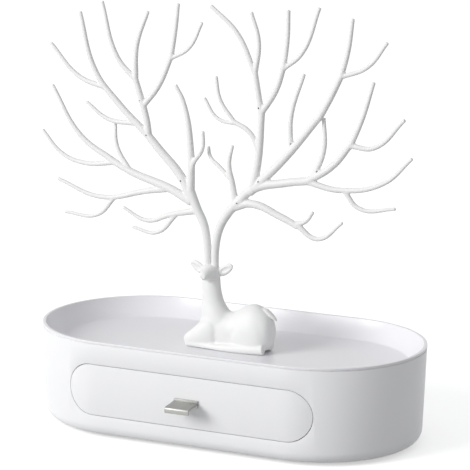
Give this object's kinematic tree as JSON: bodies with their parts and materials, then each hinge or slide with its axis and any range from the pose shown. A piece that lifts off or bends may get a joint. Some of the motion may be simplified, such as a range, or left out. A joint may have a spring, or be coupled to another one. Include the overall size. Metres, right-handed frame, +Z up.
{
  "type": "jewelry stand with drawer",
  "caption": "Stadium-shaped jewelry stand: a drawer in the base, a dished tray on top and a resting deer whose branching antlers hold necklaces and earrings.",
  "frame": {"origin": "on the table, under the middle of the housing", "axes": "+Z up; the drawer opens towards -Y; the long side of the base lies along X"},
  "size_m": [0.3005, 0.1668, 0.3091],
  "materials": {
    "base_white": "satin white moulded plastic",
    "tray_white": "satin white moulded plastic",
    "drawer_white": "matt white moulded plastic",
    "figure_white": "semi-gloss white moulded plastic",
    "pull_metal": "satin champagne-grey metal",
    "screw_steel": "zinc-plated",
    "foot_rubber": "soft translucent-white rubber"
  },
  "bodies": {
    "stand": {"housing": "base_white", "tray": "tray_white", "tray_screws": "screw_steel", "foot_left_front": "foot_rubber", "foot_left_back": "foot_rubber", "foot_right_front": "foot_rubber", "foot_right_back": "foot_rubber", "deer": "figure_white", "deer_screws": "screw_steel", "antler_left": "figure_white", "antler_right": "figure_white"},
    "drawer": {"drawer_box": "drawer_white", "drawer_front": "base_white", "drawer_front_screws": "screw_steel", "drawer_pull": "pull_metal", "drawer_pull_screws": "screw_steel"}
  },
  "joints": [
    {"name": "drawer_slide", "type": "slide", "parent": "stand", "child": "drawer", "axis": [0, -1, 0], "range_m": [0, 0.09]}
  ]
}
